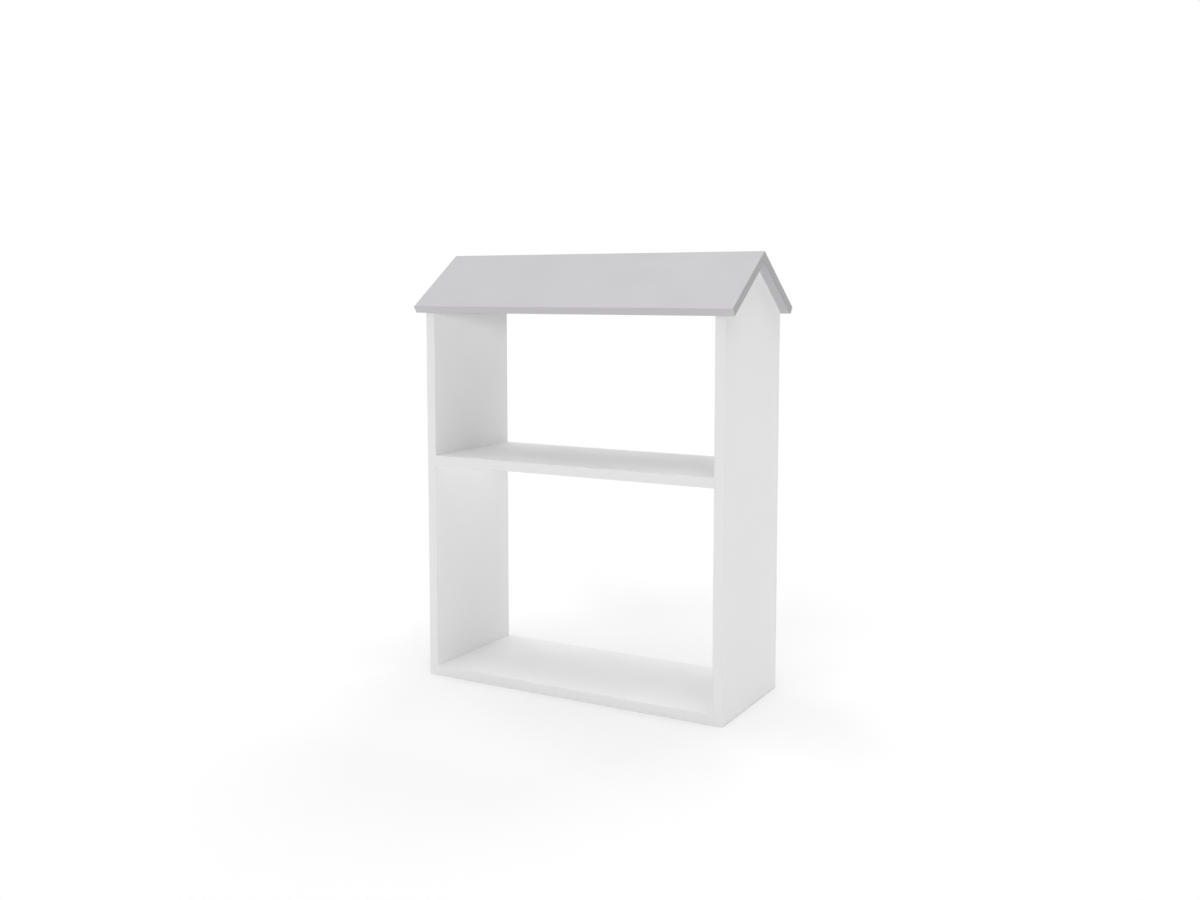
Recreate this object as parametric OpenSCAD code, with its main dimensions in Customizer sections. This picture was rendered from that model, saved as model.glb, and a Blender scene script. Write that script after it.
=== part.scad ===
// House-shaped bookcase for a child's room, open at the front and back. Two gable sides carry a bottom,
// a fixed middle shelf and two roof boards that meet in a mitred ridge. The boards are faced board with
// edge bands, held by cam fittings and fluted dowels.
// X runs along the width, Y from front to back and Z up. The origin lies on the floor, in the middle
// of the footprint.

/* [Body] */
// Width over the outer faces of the two sides
body_w = 660; // [480:5:1000]
// Depth of a side over its edge bands
body_d = 266; // [220:2:400]
// Height of a side's front and back edges, where the gable starts
eave_h = 754; // [640:2:1400]
// Height of the middle shelf's upper face above the floor
shelf_top_h = 460; // [200:5:560]

/* [Boards] */
// Thickness of a side
side_t = 20; // [16:1:25]
// Thickness of the bottom and of the middle shelf
shelf_t = 20; // [16:1:25]
// Thickness of a roof board
roof_t = 16; // [14:1:22]

/* [Roof] */
// Pitch of both roof boards in degrees
roof_pitch = 35.5; // [30:0.5:44]
// How far the roof runs past the outer face of each side
gable_overhang = 20; // [5:1:60]
// How far the roof's underside runs past a side's front and back edges
eave_overhang = 5; // [2:1:40]

/* [Edge bands] */
// Thickness of an edge band
band_t = 1; // [0.8:0.1:2]
// Radius of the two outer arrises of a band
band_arris_r = 0.8; // [0.2:0.1:0.8]
// Width of the glue line between a band and its board
glue_line_w = 0.25; // [0.1:0.05:0.4]

/* [Cam fittings] */
// Diameter of the bore that a cam sits in
cam_bore_d = 15; // [14:0.5:20]
// Distance from a joint to the middle of its cam
cam_set = 34; // [30:1:44]
// Distance from a board's front or back edge to the cam bolt beside it
cam_setback = 37; // [30:1:50]
// Diameter of the bore that a cam bolt runs through
bolt_bore_d = 8; // [7:0.5:9]
// Length of a cam bolt's thread, which is screwed into a face
bolt_thread_l = 11; // [8:0.5:12]

/* [Dowels] */
// Diameter of the dowels between the sides and the boards that they carry
dowel_d = 8; // [6:1:10]
// Length of these dowels
dowel_l = 30; // [25:1:40]
// Distance from a shelf's cam bolt to the dowel beside it
shelf_dowel_pitch = 32; // [24:1:40]
// Distance along a gable's slope from its cam bolt to each dowel
gable_dowel_pitch = 40; // [30:1:46]
// Diameter of the dowels in the ridge
ridge_dowel_d = 6; // [5:1:6]
// Length of the dowels in the ridge
ridge_dowel_l = 24; // [20:1:26]
// Distance between the dowels in the ridge
ridge_dowel_pitch = 220; // [80:10:230]

/* [Hidden] */
$fn = 48;

// Play of a dowel in its bore and of a fitting in its bore, on the radius
dowel_play = 0.05;
fitting_play = 0.1;
// Faced board left between the end of a blind dowel bore and the far face
blind_skin = 6;
// Room past the end of a dowel or of a thread in its bore
bore_end_room = 1;

// Cam bolt: thread, collar against the face, shank, neck and head
bolt_thread_r = 2.5;
bolt_tip_chamfer = 0.8;
bolt_collar_l = 1.5;
bolt_shank_r = 3;
bolt_neck_r = 2.3;
bolt_head_r = 3.5;
bolt_head_l = 2.6;
bolt_head_round = 0.8;
bolt_shoulder_play = 0.1;

// Cam: a turned drum, open at its inner end, whose eccentric chamber draws the bolt's head in
cam_recess = 0.3;
cam_floor = 1;
cam_wall = 2.2;
cam_eccentricity = 0.5;
cam_head_play = 0.4;
cam_neck_play = 0.3;
cam_slot_turn = 150;
cam_cross_w = 1.8;
cam_cross_l = 8;
cam_cross_depth = 3.2;
cam_cone_r = 2.4;

// Cover cap over a cam that would show
cap_r = 8.6;
cap_t = 0.8;
cap_round = 0.5;
cap_plug_play = 0.15;
cap_plug_depth = 2.4;

// Flutes and end chamfers of a dowel
flute_count = 12;
flute_r = 0.45;
dowel_chamfer = 0.8;

// What follows from the sizes above
inner_half_w = body_w/2 - side_t;
core_half_d = body_d/2 - band_t;
shelf_z = shelf_top_h - shelf_t;
ridge_under_z = eave_h + body_d/2*tan(roof_pitch);
ridge_top_z = ridge_under_z + roof_t/cos(roof_pitch);
roof_half_w = body_w/2 + gable_overhang;
slope_l = body_d/2/cos(roof_pitch);
roof_core_l = (body_d/2 + eave_overhang)/cos(roof_pitch) - band_t;
cam_r = cam_bore_d/2 - fitting_play;
chamber_r = cam_r - cam_wall;
bolt_bore_r = bolt_bore_d/2;
bolt_setback_y = body_d/2 - cam_setback;
ridge_bore_l = ridge_dowel_l/2 + bore_end_room;
ridge_dowel_z = (ridge_under_z + ridge_top_z - ridge_bore_l*tan(roof_pitch))/2;
far = 2*(body_w + eave_h);

left = -1;
right = 1;
front = -1;
back = 1;
ends = [-1, 1];

white = [0.93, 0.93, 0.93];
pale_grey = [0.80, 0.785, 0.80];
zinc = [0.66, 0.67, 0.69];
steel = [0.74, 0.74, 0.72];
beech = [0.82, 0.68, 0.49];

// Depth of a blind dowel bore in the face of a board of thickness t
function face_bore(t) = t - blind_skin;

// Distance from a cam's middle back to where a bolt of radius r still clears the chamber's wall
function shoulder_back(r) =
    sqrt(pow(chamber_r - bolt_shoulder_play, 2) - r*r) - cam_eccentricity;

// Sets its children in a frame with the given origin, X direction and Z direction
module place(origin, ex, ez) {
    ey = cross(ez, ex);
    multmatrix([
        [ex.x, ey.x, ez.x, origin.x],
        [ex.y, ey.y, ez.y, origin.y],
        [ex.z, ey.z, ez.z, origin.z],
        [0, 0, 0, 1]
    ]) children();
}

// A roof board's frame: origin at the ridge's underside, X down the slope, Z out through the top face
module on_slope(slope) {
    place([0, 0, ridge_under_z],
        [0, slope*cos(roof_pitch), -sin(roof_pitch)],
        [0, slope*sin(roof_pitch), cos(roof_pitch)]) children();
}

// A joint's frame: X runs from the joint into the board that holds the cam, and Z from that board's
// cam face into its thickness. Each of these sets its children at every joint of its kind.
module at_shelf_end(end, z, y) {
    place([end*inner_half_w, y, z], [-end, 0, 0], [0, 0, 1]) children();
}

module at_shelf_bolts(z) {
    for (end = ends, row = ends)
        at_shelf_end(end, z, row*bolt_setback_y) children();
}

module at_shelf_dowels(z) {
    for (end = ends, row = ends)
        at_shelf_end(end, z, row*(bolt_setback_y - shelf_dowel_pitch)) children();
}

module at_gable(side, slope, s) {
    place([side*inner_half_w, slope*s*cos(roof_pitch), ridge_under_z - s*sin(roof_pitch)],
        [0, -slope*sin(roof_pitch), -cos(roof_pitch)], [side, 0, 0]) children();
}

module at_gable_bolts(sides = ends, slopes = ends) {
    for (side = sides, slope = slopes)
        at_gable(side, slope, slope_l/2) children();
}

module at_gable_dowels(sides = ends, slopes = ends) {
    for (side = sides, slope = slopes, way = ends)
        at_gable(side, slope, slope_l/2 + way*gable_dowel_pitch) children();
}

module at_ridge_dowels() {
    for (i = [-1:1])
        translate([i*ridge_dowel_pitch, 0, ridge_dowel_z]) rotate([90, 0, 0]) children();
}

// A round bar along a joint's X axis from x0 to x1, in the middle of a board of thickness t
module bar(r, x0, x1, t) {
    translate([x0, 0, t/2]) rotate([0, 90, 0]) cylinder(r = r, h = x1 - x0);
}

// Bores for a cam and its bolt in the board that holds the cam
module cam_bores(t) {
    bar(bolt_bore_r, -1, cam_set, t);
    translate([cam_set, 0, -1])
        cylinder(r = cam_bore_d/2, h = 1 + t/2 + bolt_head_r + cam_floor);
}

// Pilot hole for a cam bolt's thread in the face that the joint lies on
module bolt_pilot(t) {
    bar(bolt_thread_r + dowel_play, -bolt_thread_l - bore_end_room, 1, t);
}

// A dowel's bore in the end of the board that holds the cam, and in a face of thickness face_t
module dowel_end_bore(t, face_t) {
    bar(dowel_d/2, -1, dowel_l - face_bore(face_t) + bore_end_room, t);
}

module dowel_face_bore(t, face_t) {
    bar(dowel_d/2, -face_bore(face_t), 1, t);
}

// Two-dimensional outline of a fluted dowel
module flute_outline(d) {
    difference() {
        circle(d = d);
        for (i = [0:flute_count - 1])
            rotate(i*360/flute_count) translate([d/2, 0]) circle(r = flute_r);
    }
}

// A fluted dowel along Z with chamfered ends
module dowel(d, l) {
    color(beech) intersection() {
        linear_extrude(l) flute_outline(d);
        rotate_extrude() polygon([
            [0, 0], [d/2 - dowel_chamfer, 0], [d/2, dowel_chamfer],
            [d/2, l - dowel_chamfer], [d/2 - dowel_chamfer, l], [0, l]
        ]);
    }
}

module joint_dowel(t, face_t) {
    translate([bore_end_room/2 - face_bore(face_t), 0, t/2]) rotate([0, 90, 0])
        dowel(dowel_d - 2*dowel_play, dowel_l);
}

// A cam bolt in a joint, for a cam in a board of thickness t
module cam_bolt(t) {
    neck_start = cam_set - cam_r - bolt_shoulder_play;
    shoulder = cam_set - shoulder_back(bolt_neck_r);
    head_start = cam_set - shoulder_back(bolt_head_r);
    head_end = head_start + bolt_head_l;
    color(steel) translate([0, 0, t/2]) rotate([0, 90, 0]) rotate_extrude() polygon([
        [0, -bolt_thread_l], [bolt_thread_r - bolt_tip_chamfer, -bolt_thread_l],
        [bolt_thread_r, bolt_tip_chamfer - bolt_thread_l], [bolt_thread_r, 0],
        [bolt_bore_r - fitting_play, 0], [bolt_bore_r - fitting_play, bolt_collar_l],
        [bolt_shank_r, bolt_collar_l], [bolt_shank_r, neck_start],
        [bolt_neck_r, neck_start], [bolt_neck_r, shoulder], [bolt_head_r, head_start],
        [bolt_head_r, head_end - bolt_head_round], [bolt_head_r - bolt_head_round, head_end],
        [0, head_end]
    ]);
}

// The crossed slots that a screwdriver turns a cam by, or the plug of a cap that fits them
module cross(w, l, depth) {
    for (turn = [0, 90])
        rotate(turn) translate([-l/2, -w/2, 0]) cube([l, w, depth]);
}

// A cam in a joint, in a board of thickness t, turned to where it holds its bolt
module cam_lock(t) {
    inner_end = t/2 + bolt_head_r + cam_floor - fitting_play;
    chamber_z = t/2 - bolt_head_r - cam_head_play;
    neck_z = t/2 - bolt_neck_r - cam_neck_play;
    entry_w = 2*(bolt_head_r + cam_head_play);
    color(zinc) translate([cam_set, 0, 0]) difference() {
        translate([0, 0, cam_recess]) cylinder(r = cam_r, h = inner_end - cam_recess);
        // Chamber for the bolt's head
        translate([cam_eccentricity, 0, chamber_z]) cylinder(r = chamber_r, h = inner_end);
        // Slot that the bolt's neck runs along, and the wide mouth that its head enters by
        rotate(180 - atan(bolt_neck_r/chamber_r) - 6) rotate_extrude(angle = cam_slot_turn)
            translate([chamber_r/2, neck_z]) square([cam_r, inner_end]);
        rotate(180 + cam_slot_turn - 30) translate([0, -entry_w/2, chamber_z])
            cube([cam_r + 1, entry_w, inner_end]);
        // Screwdriver recess
        translate([0, 0, cam_recess - 1]) cross(cam_cross_w, cam_cross_l, cam_cross_depth + 1);
        translate([0, 0, cam_recess])
            cylinder(r1 = cam_cone_r, r2 = 0.5, h = cam_cross_depth);
    }
}

// A cover cap: a thin disc on the board's face with a plug in the cam's crossed slots
module cam_cap() {
    plug_play = 2*cap_plug_play;
    color(white) translate([cam_set, 0, 0]) {
        translate([0, 0, -cap_t]) rotate_extrude() polygon([
            [0, 0], [cap_r - cap_round, 0], [cap_r, cap_round], [cap_r, cap_t], [0, cap_t]
        ]);
        translate([0, 0, -cap_t/2])
            cross(cam_cross_w - plug_play, cam_cross_l - plug_play,
                cap_t/2 + cam_recess + cap_plug_depth);
    }
}

// Cross-section of an edge band on a board of thickness w: X is the band's thickness, out of the board
module band_outline(w) {
    difference() {
        square([band_t, w]);
        for (y = [0, w]) translate([band_t, y]) difference() {
            square(2*band_arris_r, center = true);
            translate([-band_arris_r, y > 0 ? -band_arris_r : band_arris_r]) circle(band_arris_r);
        }
        for (y = [0, w]) translate([0, y]) polygon([
            [-glue_line_w, 0], [0, glue_line_w], [glue_line_w, 0], [0, -glue_line_w]
        ]);
    }
}

// An edge band from point a: it runs along ez for l, and its thickness goes out along ex
module band(a, ex, ez, w, l) {
    place(a, ex, ez) linear_extrude(l) band_outline(w);
}

// Everything above the plane that a roof board's underside lies in
module above_slope(slope) {
    on_slope(slope) translate([-far/2, -far/2, 0]) cube([far, far, far]);
}

// Everything on the far side of the ridge from a roof board
module past_ridge(slope) {
    translate([-far/2, slope > 0 ? -far : 0, 0]) cube([far, far, far]);
}

module side_outline() {
    polygon([
        [-core_half_d, band_t], [core_half_d, band_t],
        [core_half_d, ridge_under_z - core_half_d*tan(roof_pitch)], [0, ridge_under_z],
        [-core_half_d, ridge_under_z - core_half_d*tan(roof_pitch)]
    ]);
}

module side_panel(side) {
    color(white) difference() {
        translate([side > 0 ? inner_half_w : -body_w/2, 0, 0]) rotate([90, 0, 90])
            linear_extrude(side_t) side_outline();
        for (z = [0, shelf_z]) {
            at_shelf_bolts(z) bolt_pilot(shelf_t);
            at_shelf_dowels(z) dowel_face_bore(shelf_t, side_t);
        }
        at_gable_bolts([side]) cam_bores(side_t);
        at_gable_dowels([side]) dowel_end_bore(side_t, roof_t);
    }
}

// The bottom or the middle shelf, with its underside at height z
module shelf_board(z) {
    color(white) difference() {
        translate([-inner_half_w, -core_half_d, z])
            cube([2*inner_half_w, 2*core_half_d, shelf_t]);
        at_shelf_bolts(z) cam_bores(shelf_t);
        at_shelf_dowels(z) dowel_end_bore(shelf_t, side_t);
    }
}

module roof_panel(slope) {
    mitre_back = roof_t*tan(roof_pitch);
    core_w = 2*(roof_half_w - band_t);
    color(pale_grey) difference() {
        on_slope(slope) rotate([90, 0, 0]) linear_extrude(core_w, center = true)
            polygon([[0, 0], [roof_core_l, 0], [roof_core_l, roof_t], [-mitre_back, roof_t]]);
        at_gable_bolts(slopes = [slope]) bolt_pilot(side_t);
        at_gable_dowels(slopes = [slope]) dowel_face_bore(side_t, roof_t);
        at_ridge_dowels() cylinder(d = ridge_dowel_d, h = 2*ridge_bore_l, center = true);
    }
}

// The band on a side's front or back edge, cut off under the roof
module upright_band(side, edge) {
    x = side > 0 ? body_w/2 : -inner_half_w;
    corner_x = edge > 0 ? x : x - side_t;
    color(white) difference() {
        band([corner_x, edge*core_half_d, 0], [0, edge, 0], [0, 0, 1], side_t, ridge_under_z);
        above_slope(edge);
    }
}

module foot_band(side) {
    color(white)
        band([side > 0 ? body_w/2 : -inner_half_w, -core_half_d, band_t],
            [0, 0, -1], [0, 1, 0], side_t, 2*core_half_d);
}

module shelf_band(z, edge) {
    color(white)
        band([-edge*inner_half_w, edge*core_half_d, z],
            [0, edge, 0], [edge, 0, 0], shelf_t, 2*inner_half_w);
}

module eave_band(slope) {
    color(pale_grey) on_slope(slope)
        band([roof_core_l, roof_half_w, 0], [1, 0, 0], [0, -1, 0], roof_t, 2*roof_half_w);
}

// The band on one end of a roof board, mitred at the ridge
module verge_band(slope, side) {
    way = -slope*side;
    start = way > 0 ? -roof_t : roof_core_l;
    color(pale_grey) difference() {
        on_slope(slope)
            band([start, way*(roof_half_w - band_t), 0], [0, way, 0], [way, 0, 0],
                roof_t, roof_core_l + roof_t);
        past_ridge(slope);
    }
}

module cam_locks_in_shelf(z) {
    at_shelf_bolts(z) cam_lock(shelf_t);
}

module cam_bolts_in_shelf(z) {
    at_shelf_bolts(z) cam_bolt(shelf_t);
}

module dowels_in_shelf(z) {
    at_shelf_dowels(z) joint_dowel(shelf_t, side_t);
}

module ridge_dowels() {
    at_ridge_dowels() translate([0, 0, -ridge_dowel_l/2])
        dowel(ridge_dowel_d - 2*dowel_play, ridge_dowel_l);
}

side_panel(left);  // side_panel_left
side_panel(right);  // side_panel_right
shelf_board(0);  // bottom_panel
shelf_board(shelf_z);  // middle_shelf
roof_panel(front);  // roof_panel_front
roof_panel(back);  // roof_panel_back

upright_band(left, front);  // side_left_front_band
upright_band(left, back);  // side_left_back_band
foot_band(left);  // side_left_foot_band
upright_band(right, front);  // side_right_front_band
upright_band(right, back);  // side_right_back_band
foot_band(right);  // side_right_foot_band
shelf_band(0, front);  // bottom_front_band
shelf_band(0, back);  // bottom_back_band
shelf_band(shelf_z, front);  // shelf_front_band
shelf_band(shelf_z, back);  // shelf_back_band
eave_band(front);  // roof_front_eave_band
verge_band(front, left);  // roof_front_left_band
verge_band(front, right);  // roof_front_right_band
eave_band(back);  // roof_back_eave_band
verge_band(back, left);  // roof_back_left_band
verge_band(back, right);  // roof_back_right_band

cam_locks_in_shelf(0);  // bottom_cam_locks
cam_bolts_in_shelf(0);  // bottom_cam_bolts
dowels_in_shelf(0);  // bottom_dowels
cam_locks_in_shelf(shelf_z);  // shelf_cam_locks
cam_bolts_in_shelf(shelf_z);  // shelf_cam_bolts
dowels_in_shelf(shelf_z);  // shelf_dowels
at_shelf_bolts(shelf_z) cam_cap();  // shelf_cam_caps
at_gable_bolts() cam_lock(side_t);  // roof_cam_locks
at_gable_bolts() cam_bolt(side_t);  // roof_cam_bolts
at_gable_dowels() joint_dowel(side_t, roof_t);  // roof_dowels
at_gable_bolts() cam_cap();  // roof_cam_caps
ridge_dowels();
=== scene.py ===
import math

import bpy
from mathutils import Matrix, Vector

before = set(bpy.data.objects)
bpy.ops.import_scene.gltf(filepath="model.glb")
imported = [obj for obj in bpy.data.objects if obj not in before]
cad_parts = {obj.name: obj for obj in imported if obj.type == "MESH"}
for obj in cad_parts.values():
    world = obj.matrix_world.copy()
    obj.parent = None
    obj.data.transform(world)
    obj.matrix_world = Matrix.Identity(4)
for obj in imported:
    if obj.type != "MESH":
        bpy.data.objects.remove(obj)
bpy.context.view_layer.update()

# The looks of a house-shaped bookcase of faced board. Every piece is a node of the frame, so this
# script gives each one its finish, and adds the floor, the light and the camera. Lengths are in
# metres, in the frame's own axes: X along the width, Y from front to back and Z up.

FRONT = Vector((0, -1, 0))
BACK = Vector((0, 1, 0))
LEFT = Vector((-1, 0, 0))
RIGHT = Vector((1, 0, 0))
UP = Vector((0, 0, 1))
DOWN = Vector((0, 0, -1))

# Colours, in linear light
BLACK = (0.0, 0.0, 0.0)
WHITE_BOARD = (0.88, 0.88, 0.88)
WHITE_BAND = (0.84, 0.84, 0.84)
GREY_BOARD = (0.505, 0.495, 0.51)
# The roof's eave band is the roof board's grey, painted lighter: painted light for how the light falls on
# it
GREY_EAVE_BAND_PAINTED_LIGHTER = (0.545, 0.533, 0.550)
# The roof's verge bands are the roof board's grey, painted darker: painted shade for their sides turned
# from the light
GREY_VERGE_BAND_PAINTED_DARKER = (0.370, 0.363, 0.373)
GLUE_ON_WHITE = (0.42, 0.41, 0.40)
GLUE_ON_GREY = (0.26, 0.25, 0.26)
CHIP_PALE = (0.62, 0.48, 0.33)
CHIP_DARK = (0.34, 0.23, 0.14)
ZINC = (0.60, 0.61, 0.63)
STEEL = (0.68, 0.68, 0.67)
BEECH_PALE = (0.68, 0.49, 0.31)
BEECH_DARK = (0.52, 0.35, 0.20)
CAP_WHITE = (0.87, 0.87, 0.87)

# In the finishes below, a value per metre is how fine a pattern is and a depth is in metres. A
# stretch is how fine a pattern is along the piece, as a share of how fine it is across it. Two
# roughnesses are the lowest and the highest. Clouds are how a plain colour drifts: how fine they
# are, and the share that they darken it by.
CLOUD_DETAIL = 3.0
BOARD_CLOUDS = (5.0, 0.012)

# Faced board: a fine pearl that catches light, over a satin sheen, on a bare core of chips. The
# pearl moves the roughness by its shine either way, and its hollows get painted shade by this share.
BOARD_ROUGHNESS = (0.48, 0.58)
SATIN_PER_M = 14
PEARL_PER_M = 900
PEARL_DEPTH = 0.00012
PEARL_SHINE = 0.06
PEARL_PAINTED_SHADE = 0.012
CHIPS_PER_M = 420
CORE_ROUGHNESS = 0.85
# The coating is where the cosine between the surface's direction and the board's is above this
COATED_ABOVE = 0.9

# Edge bands: smoother, with faint lines along the length they were drawn in
BAND_ROUGHNESS = (0.30, 0.40)
BAND_LINES_PER_M = 1400
BAND_LINE_STRETCH = 0.02
BAND_LINE_DEPTH = 0.00002
# The glue is where the cosine between the surface's direction and outwards is below this
GLUE_BELOW = -0.3

# Cast zinc: a sandy skin, blotched where it cooled
ZINC_GRAIN_PER_M = 1800
ZINC_GRAIN_DETAIL = 3.0
ZINC_GRAIN_DEPTH = 0.00002
ZINC_DARK_SHARE = 0.8
ZINC_BLOTCHES_PER_M = 600
ZINC_ROUGHNESS = (0.38, 0.52)

# Zinc-plated steel: a fine grain, even along the bolt and across it
STEEL_CLOUDS = (60.0, 0.06)
STEEL_GRAIN_PER_M = 2600
STEEL_GRAIN_DETAIL = 1.0
STEEL_GRAIN_STRETCH = 1.0
STEEL_GRAIN_DEPTH = 0.00001
STEEL_ROUGHNESS = (0.22, 0.34)

# Beech: grain that wanders along the piece, and the short dark flecks of its rays. Each of these
# patterns goes from none to full between its ends.
BEECH_GRAIN_PER_M = 700
BEECH_GRAIN_DETAIL = 4.0
BEECH_GRAIN_COARSENESS = 0.6
BEECH_GRAIN_STRETCH = 0.06
BEECH_GRAIN_WANDER = 0.3
BEECH_GRAIN_ENDS = (0.35, 0.65)
BEECH_GRAIN_DEPTH = 0.00005
BEECH_FLECKS_PER_M = 2200
BEECH_FLECK_STRETCH = 0.12
BEECH_FLECK_ENDS = (0.6, 0.75)
BEECH_FLECK_STRENGTH = 0.5
BEECH_ROUGHNESS = (0.55, 0.70)

# Moulded cap
CAP_CLOUDS = (80.0, 0.02)
CAP_GRAIN_PER_M = 1500
CAP_GRAIN_DEPTH = 0.00001
CAP_ROUGHNESS = (0.34, 0.42)


# ---------------------------------------------------------------------------------------------
# Building blocks for node materials

# A Mix node has sockets for every kind of data. These are the numbers of its first and second
# input and of its result.
MIX_SOCKETS = {"RGBA": (6, 7, 2), "FLOAT": (2, 3, 0)}


class Shader:
    """A material's node tree around one Principled shader, with short ways to add nodes."""

    def __init__(self, name):
        self.material = bpy.data.materials.new(name)
        self.material.use_nodes = True
        self.tree = self.material.node_tree
        self.surface = self.tree.nodes["Principled BSDF"]
        self.position = self.add("ShaderNodeTexCoord").outputs["Object"]

    def add(self, kind, inputs=None, **settings):
        node = self.tree.nodes.new(kind)
        for key, value in settings.items():
            setattr(node, key, value)
        for key, value in (inputs or {}).items():
            self.put(value, node.inputs[key])
        return node

    def put(self, value, socket):
        """Links a socket to an input, or sets the input to a constant."""
        if isinstance(value, bpy.types.NodeSocket):
            self.tree.links.new(value, socket)
        elif hasattr(value, "__len__") and socket.type == "RGBA":
            socket.default_value = (*value, 1)
        else:
            socket.default_value = value

    def normal(self):
        return self.add("ShaderNodeNewGeometry").outputs["True Normal"]

    def math(self, operation, a, b=0.0):
        return self.add("ShaderNodeMath", {0: a, 1: b}, operation=operation).outputs[0]

    def along(self, direction, vector=None):
        """How far a point, or another vector, reaches along a direction."""
        inputs = {0: vector or self.position, 1: tuple(direction)}
        return self.add("ShaderNodeVectorMath", inputs, operation="DOT_PRODUCT").outputs["Value"]

    def noise(self, scale, detail=2.0, roughness=0.5, vector=None, distortion=0.0):
        inputs = {"Vector": vector or self.position, "Scale": scale, "Detail": detail,
                  "Roughness": roughness, "Distortion": distortion}
        return self.add("ShaderNodeTexNoise", inputs).outputs["Fac"]

    def spread(self, value, low, high, start=0.3, end=0.7):
        """Maps a value from start..end onto low..high."""
        inputs = {"Value": value, "From Min": start, "From Max": end, "To Min": low, "To Max": high}
        return self.add("ShaderNodeMapRange", inputs).outputs["Result"]

    def mix(self, factor, a, b, kind="RGBA"):
        """Goes from a to b as the factor goes from 0 to 1."""
        first, second, result = MIX_SOCKETS[kind]
        inputs = {0: factor, first: a, second: b}
        return self.add("ShaderNodeMix", inputs, data_type=kind).outputs[result]

    def stretched(self, axis, share):
        """Object coordinates with one direction drawn out, so that a pattern runs along it."""
        side = axis.orthogonal().normalized()
        other = axis.cross(side)
        parts = [self.math("MULTIPLY", self.along(axis), share), self.along(side), self.along(other)]
        return self.add("ShaderNodeCombineXYZ", dict(enumerate(parts))).outputs[0]

    def clouded(self, colour, clouds_per_m, share):
        """A colour that drifts very slightly over the piece, as a printed or moulded one does."""
        dark = tuple(c*(1 - share) for c in colour)
        clouds = self.noise(clouds_per_m, CLOUD_DETAIL)
        return self.mix(self.spread(clouds, 0.0, 1.0), dark, colour)

    def bump(self, height, distance):
        return self.add("ShaderNodeBump", {"Height": height, "Distance": distance}).outputs["Normal"]

    def finish(self, **inputs):
        """Sets the shader's inputs. A name is its socket's in small letters, with _ for a space."""
        for key, value in inputs.items():
            self.put(value, self.surface.inputs[key.replace("_", " ").title()])
        return self.material


# ---------------------------------------------------------------------------------------------
# Materials

def faced_board(name, colour, face_direction):
    """Melamine-faced chipboard: the two faces are coated, and the sawn edges and bores are bare."""
    s = Shader(name)
    pearl = s.noise(PEARL_PER_M)
    # Painted shade: the coat's colour is darkened in the pearl's hollows, where its bump is low
    painted_hollow_shade = s.spread(pearl, PEARL_PAINTED_SHADE, 0.0)
    coat = s.mix(painted_hollow_shade, s.clouded(colour, *BOARD_CLOUDS), BLACK)
    satin = s.spread(s.noise(SATIN_PER_M), *BOARD_ROUGHNESS)
    shine = s.spread(pearl, -PEARL_SHINE, PEARL_SHINE)
    chips = s.add("ShaderNodeTexVoronoi", {"Vector": s.position, "Scale": CHIPS_PER_M})
    core = s.mix(chips.outputs["Color"], CHIP_DARK, CHIP_PALE)
    facing = s.math("ABSOLUTE", s.along(face_direction, s.normal()))
    is_face = s.math("GREATER_THAN", facing, COATED_ABOVE)
    return s.finish(
        base_color=s.mix(is_face, core, coat),
        roughness=s.mix(is_face, CORE_ROUGHNESS, s.math("ADD", satin, shine), "FLOAT"),
        normal=s.bump(pearl, PEARL_DEPTH),
    )


def edge_band(name, colour, glue, outwards, lengthwise):
    """A plastic edge band. Its faces that turn to the board are the fine glue line round it."""
    s = Shader(name)
    is_glue = s.math("LESS_THAN", s.along(outwards, s.normal()), GLUE_BELOW)
    lines = s.noise(BAND_LINES_PER_M, vector=s.stretched(lengthwise, BAND_LINE_STRETCH))
    return s.finish(
        base_color=s.mix(is_glue, s.clouded(colour, *BOARD_CLOUDS), glue),
        roughness=s.spread(lines, *BAND_ROUGHNESS),
        normal=s.bump(lines, BAND_LINE_DEPTH),
    )


def cast_zinc():
    s = Shader("cast_zinc")
    grain = s.noise(ZINC_GRAIN_PER_M, ZINC_GRAIN_DETAIL)
    dark = tuple(c*ZINC_DARK_SHARE for c in ZINC)
    return s.finish(
        base_color=s.mix(s.spread(grain, 0.0, 1.0), dark, ZINC),
        metallic=1.0,
        roughness=s.spread(s.noise(ZINC_BLOTCHES_PER_M), *ZINC_ROUGHNESS),
        normal=s.bump(grain, ZINC_GRAIN_DEPTH),
    )


def turned_steel():
    s = Shader("turned_steel")
    run = s.stretched(RIGHT, STEEL_GRAIN_STRETCH)
    grain = s.noise(STEEL_GRAIN_PER_M, STEEL_GRAIN_DETAIL, vector=run)
    return s.finish(
        base_color=s.clouded(STEEL, *STEEL_CLOUDS),
        metallic=1.0,
        roughness=s.spread(grain, *STEEL_ROUGHNESS),
        normal=s.bump(grain, STEEL_GRAIN_DEPTH),
    )


def beech(name, lengthwise):
    s = Shader(name)
    run = s.stretched(lengthwise, BEECH_GRAIN_STRETCH)
    grain = s.noise(BEECH_GRAIN_PER_M, BEECH_GRAIN_DETAIL, BEECH_GRAIN_COARSENESS, run, BEECH_GRAIN_WANDER)
    flecks = s.noise(BEECH_FLECKS_PER_M, vector=s.stretched(lengthwise, BEECH_FLECK_STRETCH))
    wood = s.mix(s.spread(grain, 0.0, 1.0, *BEECH_GRAIN_ENDS), BEECH_DARK, BEECH_PALE)
    fleck = s.spread(flecks, 0.0, BEECH_FLECK_STRENGTH, *BEECH_FLECK_ENDS)
    return s.finish(
        base_color=s.mix(fleck, wood, BEECH_DARK),
        roughness=s.spread(grain, *BEECH_ROUGHNESS),
        normal=s.bump(grain, BEECH_GRAIN_DEPTH),
    )


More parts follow.
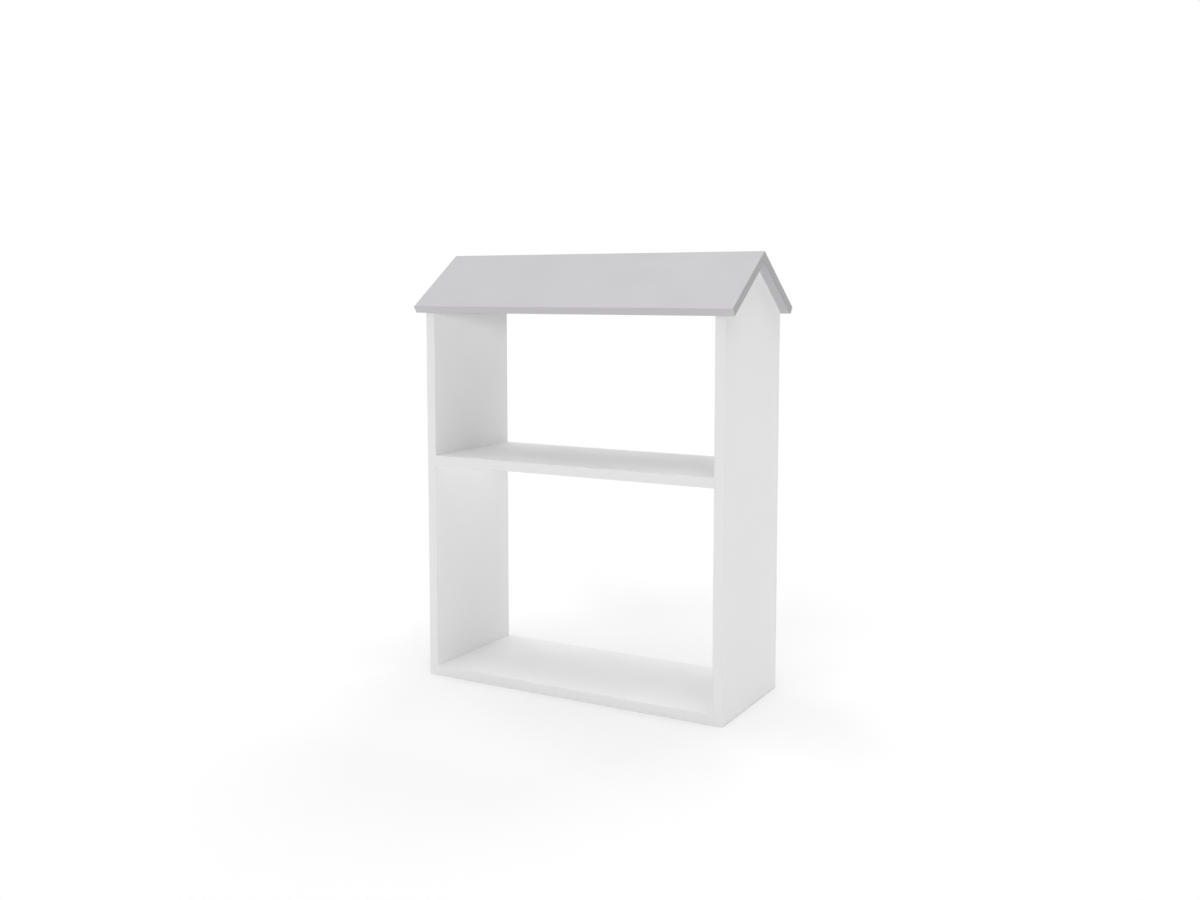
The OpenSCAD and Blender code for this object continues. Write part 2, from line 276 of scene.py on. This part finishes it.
def moulded_cap():
    s = Shader("moulded_cap")
    grain = s.noise(CAP_GRAIN_PER_M)
    return s.finish(
        base_color=s.clouded(CAP_WHITE, *CAP_CLOUDS),
        roughness=s.spread(grain, *CAP_ROUGHNESS),
        normal=s.bump(grain, CAP_GRAIN_DEPTH),
    )


# ---------------------------------------------------------------------------------------------
# Which node gets which material

def roof_normal(end):
    """The outward direction of a roof board's upper face, taken from its largest face."""
    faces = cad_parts[f"roof_panel_{end}"].data.polygons
    normal = max(faces, key=lambda f: f.area).normal.copy()
    return normal if normal.z > 0 else -normal


def give(nodes, material):
    for name in nodes:
        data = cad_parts[name].data
        data.materials.clear()
        data.materials.append(material)


def dress_boards():
    give(["side_panel_left", "side_panel_right"], faced_board("white_side_board", WHITE_BOARD, RIGHT))
    give(["bottom_panel", "middle_shelf"], faced_board("white_shelf_board", WHITE_BOARD, UP))
    for end in ("front", "back"):
        board = faced_board(f"grey_{end}_roof_board", GREY_BOARD, roof_normal(end))
        give([f"roof_panel_{end}"], board)


def dress_bands():
    """Each band's glue line lies on its inner face, so each has a material of its own."""
    ways = {"front": FRONT, "back": BACK, "left": LEFT, "right": RIGHT, "foot": DOWN}
    for side in ("left", "right"):
        for edge, lengthwise in (("front", UP), ("back", UP), ("foot", BACK)):
            node = f"side_{side}_{edge}_band"
            give([node], edge_band(node, WHITE_BAND, GLUE_ON_WHITE, ways[edge], lengthwise))
    for board in ("bottom", "shelf"):
        for edge in ("front", "back"):
            node = f"{board}_{edge}_band"
            give([node], edge_band(node, WHITE_BAND, GLUE_ON_WHITE, ways[edge], RIGHT))
    for end in ("front", "back"):
        down_slope = roof_normal(end).cross(RIGHT)
        down_slope = down_slope if down_slope.z < 0 else -down_slope
        # Painted light on the eave bands, painted shade on the verge bands: one grey set lighter and
        # darker
        node = f"roof_{end}_eave_band"
        give([node], edge_band(node, GREY_EAVE_BAND_PAINTED_LIGHTER, GLUE_ON_GREY, down_slope, RIGHT))
        for side in ("left", "right"):
            node = f"roof_{end}_{side}_band"
            give([node], edge_band(node, GREY_VERGE_BAND_PAINTED_DARKER, GLUE_ON_GREY, ways[side], down_slope))


def dress_fittings():
    give(["bottom_cam_locks", "shelf_cam_locks", "roof_cam_locks"], cast_zinc())
    give(["bottom_cam_bolts", "shelf_cam_bolts", "roof_cam_bolts"], turned_steel())
    give(["bottom_dowels", "shelf_dowels"], beech("beech_across", RIGHT))
    give(["roof_dowels"], beech("beech_upright", UP))
    give(["ridge_dowels"], beech("beech_deep", BACK))
    give(["shelf_cam_caps", "roof_cam_caps"], moulded_cap())


# ---------------------------------------------------------------------------------------------
# Floor, light and camera. Angles are in degrees: azimuth goes round the object, 0 in front and 90
# on its right.

FLOOR_HALF = 40.0
FLOOR_COLOUR = (0.92, 0.92, 0.92)
FLOOR_SEEN_COLOUR = (0.95, 0.95, 0.95)
FLOOR_ROUGHNESS = 0.9
WORLD_COLOUR = (1.0, 1.0, 1.0, 1.0)
WORLD_LEVEL = 0.10
WORLD_SEEN_LEVEL = 1.0

# Soft lamps far off. Width is how broad the lamp looks, and strength is the brightness of a white
# face turned to the lamp.
HIGH_AZIMUTHS = (60, 120, 240, 300)
HIGH_LAMP = {"elevation": 70, "width": 30, "strength": 0.17}
FRONT_OR_BACK_LAMP = {"elevation": 45, "width": 36, "strength": 0.20}
LOW_RIGHT_LAMP = {"azimuth": 45, "elevation": 5, "width": 10, "strength": 0.25}
LOW_LEFT_LAMP = {"azimuth": 240, "elevation": 15, "width": 14, "strength": 0.10}

# The photograph's camera, found from the bookcase's straight edges
CAMERA_PLACE = (1.216, -2.170, 0.797)
CAMERA_AZIMUTH = 29.26
CAMERA_PITCH = 5.15
SENSOR_WIDTH = 36.0
LENS = 37.33
CAMERA_SHIFT = -0.04


def seen_ray(tree):
    """1 for a ray from the camera, or one that it sees in a gloss or through glass, and else 0."""
    path = tree.nodes.new("ShaderNodeLightPath")
    seen = path.outputs["Is Camera Ray"]
    for ray in ("Is Glossy Ray", "Is Transmission Ray"):
        either = tree.nodes.new("ShaderNodeMath")
        either.operation = "MAXIMUM"
        tree.links.new(seen, either.inputs[0])
        tree.links.new(path.outputs[ray], either.inputs[1])
        seen = either.outputs[0]
    return seen


def make_floor():
    s = Shader("floor")
    s.surface.inputs["Specular IOR Level"].default_value = 0.0
    s.surface.inputs["Roughness"].default_value = FLOOR_ROUGHNESS
    s.put(s.mix(seen_ray(s.tree), FLOOR_COLOUR, FLOOR_SEEN_COLOUR), s.surface.inputs["Base Color"])
    mesh = bpy.data.meshes.new("floor")
    corners = [(x*FLOOR_HALF, y*FLOOR_HALF, 0) for x, y in ((-1, -1), (1, -1), (1, 1), (-1, 1))]
    mesh.from_pydata(corners, [], [(0, 1, 2, 3)])
    mesh.materials.append(s.material)
    floor = bpy.data.objects.new("floor", mesh)
    bpy.context.scene.collection.objects.link(floor)


def light_world():
    """A plain white room: dim as a light, and full white where it is seen."""
    world = bpy.data.worlds.new("studio")
    world.use_nodes = True
    nodes, links = world.node_tree.nodes, world.node_tree.links
    level = nodes.new("ShaderNodeMapRange")
    level.inputs["To Min"].default_value = WORLD_LEVEL
    level.inputs["To Max"].default_value = WORLD_SEEN_LEVEL
    links.new(seen_ray(world.node_tree), level.inputs["Value"])
    background = nodes["Background"]
    background.inputs["Color"].default_value = WORLD_COLOUR
    links.new(level.outputs["Result"], background.inputs["Strength"])
    bpy.context.scene.world = world


def add_aimed(name, data, azimuth, elevation):
    """Adds a lamp or a camera that stands in this direction from the object and faces back."""
    a, e = math.radians(azimuth), math.radians(elevation)
    outwards = Vector((math.sin(a)*math.cos(e), -math.cos(a)*math.cos(e), math.sin(e)))
    thing = bpy.data.objects.new(name, data)
    thing.rotation_mode = "QUATERNION"
    thing.rotation_quaternion = outwards.to_track_quat("Z", "Y")
    bpy.context.scene.collection.objects.link(thing)
    return thing


def add_lamp(name, azimuth, elevation, width, strength):
    lamp = bpy.data.lights.new(name, "SUN")
    lamp.angle = math.radians(width)
    lamp.energy = strength*math.pi
    add_aimed(name, lamp, azimuth, elevation)


def light_studio():
    """Four high lamps, two on each side, one in front and one behind, and a low one on each side."""
    for azimuth in HIGH_AZIMUTHS:
        add_lamp(f"high_{azimuth}", azimuth, **HIGH_LAMP)
    add_lamp("front", 0, **FRONT_OR_BACK_LAMP)
    add_lamp("back", 180, **FRONT_OR_BACK_LAMP)
    add_lamp("low_right", **LOW_RIGHT_LAMP)
    add_lamp("low_left", **LOW_LEFT_LAMP)


def make_camera():
    data = bpy.data.cameras.new("camera")
    data.sensor_width = SENSOR_WIDTH
    data.lens = LENS
    data.shift_y = CAMERA_SHIFT
    camera = add_aimed("camera", data, CAMERA_AZIMUTH, CAMERA_PITCH)
    camera.location = CAMERA_PLACE
    bpy.context.scene.camera = camera


dress_boards()
dress_bands()
dress_fittings()
make_floor()
light_world()
light_studio()
make_camera()
bpy.context.scene.view_settings.view_transform = "Standard"
